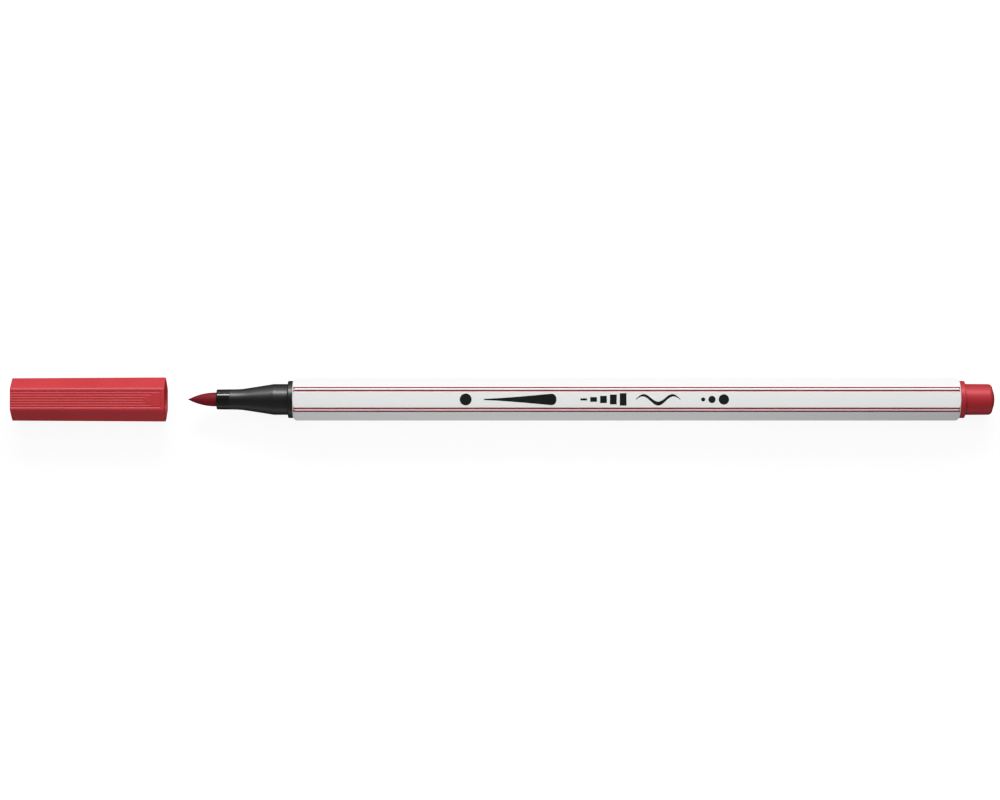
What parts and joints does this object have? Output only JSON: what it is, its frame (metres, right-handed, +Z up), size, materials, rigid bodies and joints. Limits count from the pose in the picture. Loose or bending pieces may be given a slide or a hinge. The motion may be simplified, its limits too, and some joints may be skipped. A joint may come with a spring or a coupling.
{
  "type": "brush pen",
  "caption": "Six-sided fibre brush pen with its ribbed cap pulled off: flexible pointed brush nib, stepped black grip, striped white barrel and round end plug.",
  "frame": {"origin": "on the surface the pen lies on, under the middle of the whole object with its cap pulled off and lying in line", "axes": "+X along the pen from the cap's closed end to the end plug, +Y across it, +Z up out of the upper flat of the barrel"},
  "size_m": [0.1906, 0.0086, 0.0076],
  "materials": {
    "barrel_plastic": "opaque white polypropylene with a soft sheen, thin dark red lines printed beside each edge",
    "grip_plastic": "black, smooth moulded gloss",
    "brush_fibre": "ink-soaked dark red fibre, damp and matte",
    "reservoir_fibre": "dark red ink-soaked fibre rod, matte",
    "wrap_film": "thin milky plastic film",
    "red_plastic": "warm red moulded plastic with a satin gloss",
    "seal_plastic": "natural milky polyethylene"
  },
  "bodies": {
    "pen": {"barrel": "barrel_plastic", "grip_section": "grip_plastic", "nib_stem": "brush_fibre", "ink_reservoir": "reservoir_fibre", "reservoir_film": "wrap_film", "end_plug": "red_plastic"},
    "nib": {"brush_tip": "brush_fibre"},
    "cap": {"cap_shell": "red_plastic", "cap_inner_seal": "seal_plastic"}
  },
  "joints": [
    {"name": "cap_slide", "type": "slide", "parent": "pen", "child": "cap", "axis": [1, 0, 0], "range_m": [0, 0.0236]},
    {"name": "nib_flex", "type": "hinge", "parent": "pen", "child": "nib", "pos_m": [-0.0562, 0, 0.00381], "axis": [0, 0, 1], "range_deg": [-20, 20], "stiffness_Nm_per_rad": 0.0057}
  ]
}
